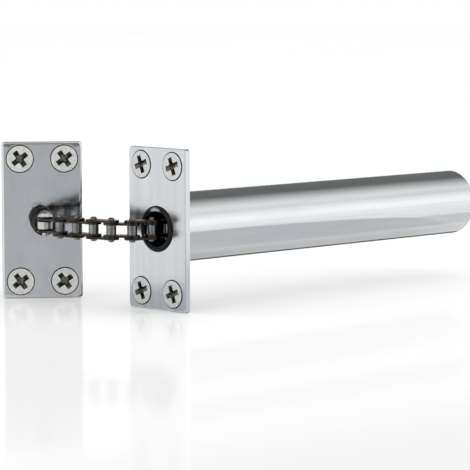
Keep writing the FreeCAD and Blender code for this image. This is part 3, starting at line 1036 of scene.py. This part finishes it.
FRONT_CARD = [
    (-0.030, 0.062),
    (-0.90, -0.55),
    (-0.55, -1.10),
    (0.10, -0.80),
    (0.03, -0.20),
    (-0.004, -0.016),
    (0.0, 0.045),
]
NEAR_CARD_COLOUR = (0.66, 0.685, 0.71)
NEAR_CARD = [
    (-0.004, -0.016),
    (0.0, -0.135),
    (0.155, -0.135),
    (0.172, -0.045),
    (0.172, -0.014),
    (0.0, -0.014),
]
FAR_CARD_COLOUR = (0.76, 0.785, 0.80)
FAR_CARD = [(0.172, -0.045), (0.90, -0.045), (0.90, -0.014), (0.172, -0.014)]
BACK_CARD_COLOUR = (0.12, 0.12, 0.122)
BACK_CARD = [(0.006, 0.016), (-0.05, 0.30), (0.30, 1.10), (1.10, 0.60), (0.90, 0.014), (0.006, 0.014)]
RIGHT_LAMP_SIZE = (1.3, 0.62)
RIGHT_LAMP_PLACE = (0.95, -0.84, 0.30)
RIGHT_LAMP_TARGET = (0.08, 0, 0)
RIGHT_LAMP_BRIGHTNESS = 1.4
LEFT_LAMP_SIZE = (0.5, 0.30)
LEFT_LAMP_PLACE = (-0.66, 0.80, 0.46)
LEFT_LAMP_TARGET = (0, 0, 0)
LEFT_LAMP_BRIGHTNESS = 1.6

# The dark card that the anchor plate reflects beside its stud: millimetres in the plate's own place
SHADE_CARD_AHEAD = 150.0
SHADE_CARD_COLOUR = (0.01, 0.01, 0.01)
SHADE_CARD = [
    (-8.0, -9.4),
    (-11.2, -7.0),
    (-16.5, -4.9),
    (-20.9, -3.8),
    (-27.2, -1.6),
    (-27.1, -11.5),
    (-18.2, -10.9),
    (-12.9, -12.2),
]


def studio_plane(name, size, place, look_at, material):
    """A flat card that faces a point."""
    builder = bmesh.new()
    bmesh.ops.create_grid(builder, x_segments=1, y_segments=1, size=0.5)
    mesh = mesh_from(builder, name, outwards=False)
    mesh.materials.append(material)
    card = bpy.data.objects.new(name, mesh)
    bpy.context.scene.collection.objects.link(card)
    direction = Vector(look_at) - Vector(place)
    card.matrix_world = (
        Matrix.Translation(place)
        @ direction.to_track_quat("Z", "Y").to_matrix().to_4x4()
        @ Matrix.Diagonal((*size, 1, 1))
    )


def seen_directly(nodes, links):
    """1 for camera, glossy and transmission rays, 0 for the rays that carry soft light."""
    path = nodes.new("ShaderNodeLightPath")
    value = path.outputs["Is Camera Ray"]
    for output in ("Is Glossy Ray", "Is Transmission Ray"):
        value = arithmetic(nodes, links, "MAXIMUM", value, path.outputs[output])
    return value


def floor_material():
    """A pale floor with a faint reflection, lifted to white where it is seen."""
    material, nodes, links, shader = new_material("pale_floor")
    nodes.remove(shader)
    diffuse = nodes.new("ShaderNodeBsdfDiffuse")
    gloss = nodes.new("ShaderNodeBsdfGlossy")
    glow = nodes.new("ShaderNodeEmission")
    mix, add = nodes.new("ShaderNodeMixShader"), nodes.new("ShaderNodeAddShader")
    fine = stretched_noise(nodes, links, (40, 40, 40))
    tone = spread(nodes, links, fine, 0.0, 1.0)
    tone = mixed_colour(nodes, links, tone, (0.94, 0.94, 0.94), (0.96, 0.96, 0.96))
    links.new(tone, diffuse.inputs["Color"])
    gloss.inputs["Color"].default_value = (0.95, 0.95, 0.95, 1)
    gloss.inputs["Roughness"].default_value = 0.10
    mix.inputs["Fac"].default_value = FLOOR_GLOSS
    links.new(diffuse.outputs[0], mix.inputs[1])
    links.new(gloss.outputs[0], mix.inputs[2])
    lift = arithmetic(nodes, links, "MULTIPLY", seen_directly(nodes, links), FLOOR_LIFT)
    links.new(lift, glow.inputs["Strength"])
    links.new(mix.outputs[0], add.inputs[0])
    links.new(glow.outputs[0], add.inputs[1])
    links.new(add.outputs[0], nodes["Material Output"].inputs["Surface"])
    return material


def card_material(name, colour, from_edge=None, one_sided=False):
    """An evenly glowing card, which may fade from white along its U, or show its front only."""
    material, nodes, links, shader = new_material(name)
    nodes.remove(shader)
    glow = nodes.new("ShaderNodeEmission")
    broad = stretched_noise(nodes, links, (3, 3, 3))
    tone = mixed_colour(nodes, links, broad, colour, tuple(c * 1.1 for c in colour))
    if from_edge:
        ramp = spread(nodes, links, along_u(nodes, links), 0.0, 1.0, *from_edge)
        tone = mixed_colour(nodes, links, ramp, (1, 1, 1), tone)
    links.new(tone, glow.inputs["Color"])
    surface = glow.outputs[0]
    if one_sided:
        side = nodes.new("ShaderNodeNewGeometry")
        clear = nodes.new("ShaderNodeBsdfTransparent")
        either = nodes.new("ShaderNodeMixShader")
        links.new(side.outputs["Backfacing"], either.inputs["Fac"])
        links.new(surface, either.inputs[1])
        links.new(clear.outputs[0], either.inputs[2])
        surface = either.outputs[0]
    links.new(surface, nodes["Material Output"].inputs["Surface"])
    return material


def along_u(nodes, links):
    """How far along a curved card a point is, from 0 to 1."""
    place = nodes.new("ShaderNodeTexCoord")
    split = nodes.new("ShaderNodeSeparateXYZ")
    links.new(place.outputs["UV"], split.inputs[0])
    return split.outputs[0]


def lamp(name, size, place, look_at, brightness):
    """A soft box that reflections don't see, as bright as its number, where white paper has 1."""
    light = bpy.data.lights.new(name, "AREA")
    light.shape = "RECTANGLE"
    light.size, light.size_y = size
    light.energy = brightness * math.pi * size[0] * size[1]
    obj = bpy.data.objects.new(name, light)
    bpy.context.scene.collection.objects.link(obj)
    obj.location = place
    obj.rotation_euler = (Vector(look_at) - Vector(place)).to_track_quat("-Z", "Y").to_euler()
    obj.visible_glossy = False


def reflected_card(name, mesh, material):
    """A card that only polished surfaces see."""
    mesh.materials.append(material)
    card = bpy.data.objects.new(name, mesh)
    bpy.context.scene.collection.objects.link(card)
    card.visible_camera = False
    card.visible_diffuse = False
    card.visible_shadow = False
    card.visible_transmission = False


def curved_card_mesh(name, radius, start, end, across, steps):
    """A card curved about the X axis, between two angles over the front, in degrees."""
    builder = bmesh.new()
    uv = builder.loops.layers.uv.new("UVMap")
    rows = []
    for k in range(steps + 1):
        angle = math.radians(start + (end - start) * k / steps)
        y, z = -radius * math.cos(angle), radius * math.sin(angle)
        rows.append([builder.verts.new((x, y, z)) for x in across])
    for k in range(steps):
        face = builder.faces.new((rows[k][0], rows[k][1], rows[k + 1][1], rows[k + 1][0]))
        for loop, u in zip(face.loops, (k, k, k + 1, k + 1)):
            loop[uv].uv = (u / steps, 0.5)
    return mesh_from(builder, name, outwards=False)


def flat_card_mesh(corners, front):
    """A card between its corners, its front on the side that a direction points to."""
    builder = bmesh.new()
    face = builder.faces.new([builder.verts.new(corner) for corner in corners])
    face.normal_update()
    if face.normal.dot(front) < 0:
        face.normal_flip()
    return mesh_from(builder, "card", outwards=False)


def upright_card_mesh(middle, width, bottom, top):
    """A standing card about a middle point, turned towards the origin."""
    toward = -Vector(middle).normalized()
    x, y = Vector((-toward.y, toward.x)) * width / 2
    left, right = (middle[0] - x, middle[1] - y), (middle[0] + x, middle[1] + y)
    corners = [(*right, bottom), (*left, bottom), (*left, top), (*right, top)]
    return flat_card_mesh(corners, Vector((*toward, 0)))


def shade_card_corners():
    """The shade card's corners, parallel to the anchor plate and some way in front of it."""
    place, x = anchor_placement(), -PLATE_THICKNESS - SHADE_CARD_AHEAD
    return [(place @ Vector((x, y, z))) * MM for y, z in SHADE_CARD]


def softbox_material():
    """Brightest a third of the way up, fading to the top and a little to the bottom."""
    material, nodes, links, shader = new_material("softbox_face")
    nodes.remove(shader)
    glow = nodes.new("ShaderNodeEmission")
    ramp = nodes.new("ShaderNodeFloatCurve")
    curve = ramp.mapping.curves[0]
    curve.points[0].location = (0.0, SOFTBOX_BOTTOM)
    curve.points[1].location = (1.0, SOFTBOX_TOP)
    for point in SOFTBOX_BETWEEN:
        curve.points.new(*point)
    ramp.mapping.update()
    links.new(along_u(nodes, links), ramp.inputs["Value"])
    strength = arithmetic(nodes, links, "MULTIPLY", ramp.outputs[0], SOFTBOX_BRIGHTNESS)
    links.new(strength, glow.inputs["Strength"])
    links.new(glow.outputs[0], nodes["Material Output"].inputs["Surface"])
    return material


def build_studio():
    """The floor, the cards that only reflections see, and two soft boxes."""
    studio_plane("floor", (FLOOR_SIDE, FLOOR_SIDE), (0, 0, FLOOR_Z), (0, 0, 1), floor_material())
    arch = curved_card_mesh("canopy", CANOPY_RADIUS, CANOPY_START, CANOPY_END, CANOPY_X, steps=40)
    reflected_card("canopy", arch, card_material("canopy_card", CANOPY_COLOUR, (0.0, CANOPY_FADE)))
    face = curved_card_mesh("softbox", SOFTBOX_RADIUS, SOFTBOX_LOW, SOFTBOX_HIGH, SOFTBOX_X, steps=24)
    reflected_card("softbox_face", face, softbox_material())
    flag = upright_card_mesh(SIDE_CARD_MIDDLE, SIDE_CARD_WIDTH, FLOOR_Z, SIDE_CARD_TOP)
    reflected_card("camera_side_card", flag, card_material("camera_side_card", SIDE_CARD_COLOUR))
    for name, corners, colour in (
        ("front_floor_card", FRONT_CARD, FRONT_CARD_COLOUR),
        ("near_floor_card", NEAR_CARD, NEAR_CARD_COLOUR),
        ("far_floor_card", FAR_CARD, FAR_CARD_COLOUR),
        ("back_floor_card", BACK_CARD, BACK_CARD_COLOUR),
    ):
        card = flat_card_mesh([(x, y, FLOOR_Z + FLOOR_CARD_GAP) for x, y in corners], Vector((0, 0, 1)))
        reflected_card(name, card, card_material(name, colour, one_sided=True))
    name = "plate_shade_card"
    card = flat_card_mesh(shade_card_corners(), ANCHOR_AXIS)
    reflected_card(name, card, card_material(name, SHADE_CARD_COLOUR, one_sided=True))
    lamp("front_right_softbox", RIGHT_LAMP_SIZE, RIGHT_LAMP_PLACE, RIGHT_LAMP_TARGET, RIGHT_LAMP_BRIGHTNESS)
    lamp("left_softbox", LEFT_LAMP_SIZE, LEFT_LAMP_PLACE, LEFT_LAMP_TARGET, LEFT_LAMP_BRIGHTNESS)


def build_world():
    """An even white surround."""
    world = bpy.data.worlds.new("studio")
    bpy.context.scene.world = world
    world.use_nodes = True
    background = world.node_tree.nodes["Background"]
    background.inputs["Color"].default_value = (1, 1, 1, 1)


def build_camera():
    data = bpy.data.cameras.new("photo_view")
    data.sensor_width = SENSOR
    data.lens = FOCAL_PIXELS * SENSOR / PICTURE_SIDE
    data.clip_start, data.clip_end = CLIP_START, CLIP_END
    camera = bpy.data.objects.new("photo_view", data)
    bpy.context.scene.collection.objects.link(camera)
    camera.location = CAMERA_PLACE
    camera.rotation_euler = (math.radians(90 - CAMERA_PITCH), 0, math.radians(CAMERA_HEADING))
    bpy.context.scene.camera = camera


def main():
    build_plates()
    build_tube()
    build_guide()
    for number in range(1, LINK_COUNT + 1):
        build_link(number)
    build_anchor()
    build_spring()
    finish_inner_pieces()
    build_studio()
    build_world()
    build_camera()
    bpy.context.scene.view_settings.view_transform = "Standard"


main()
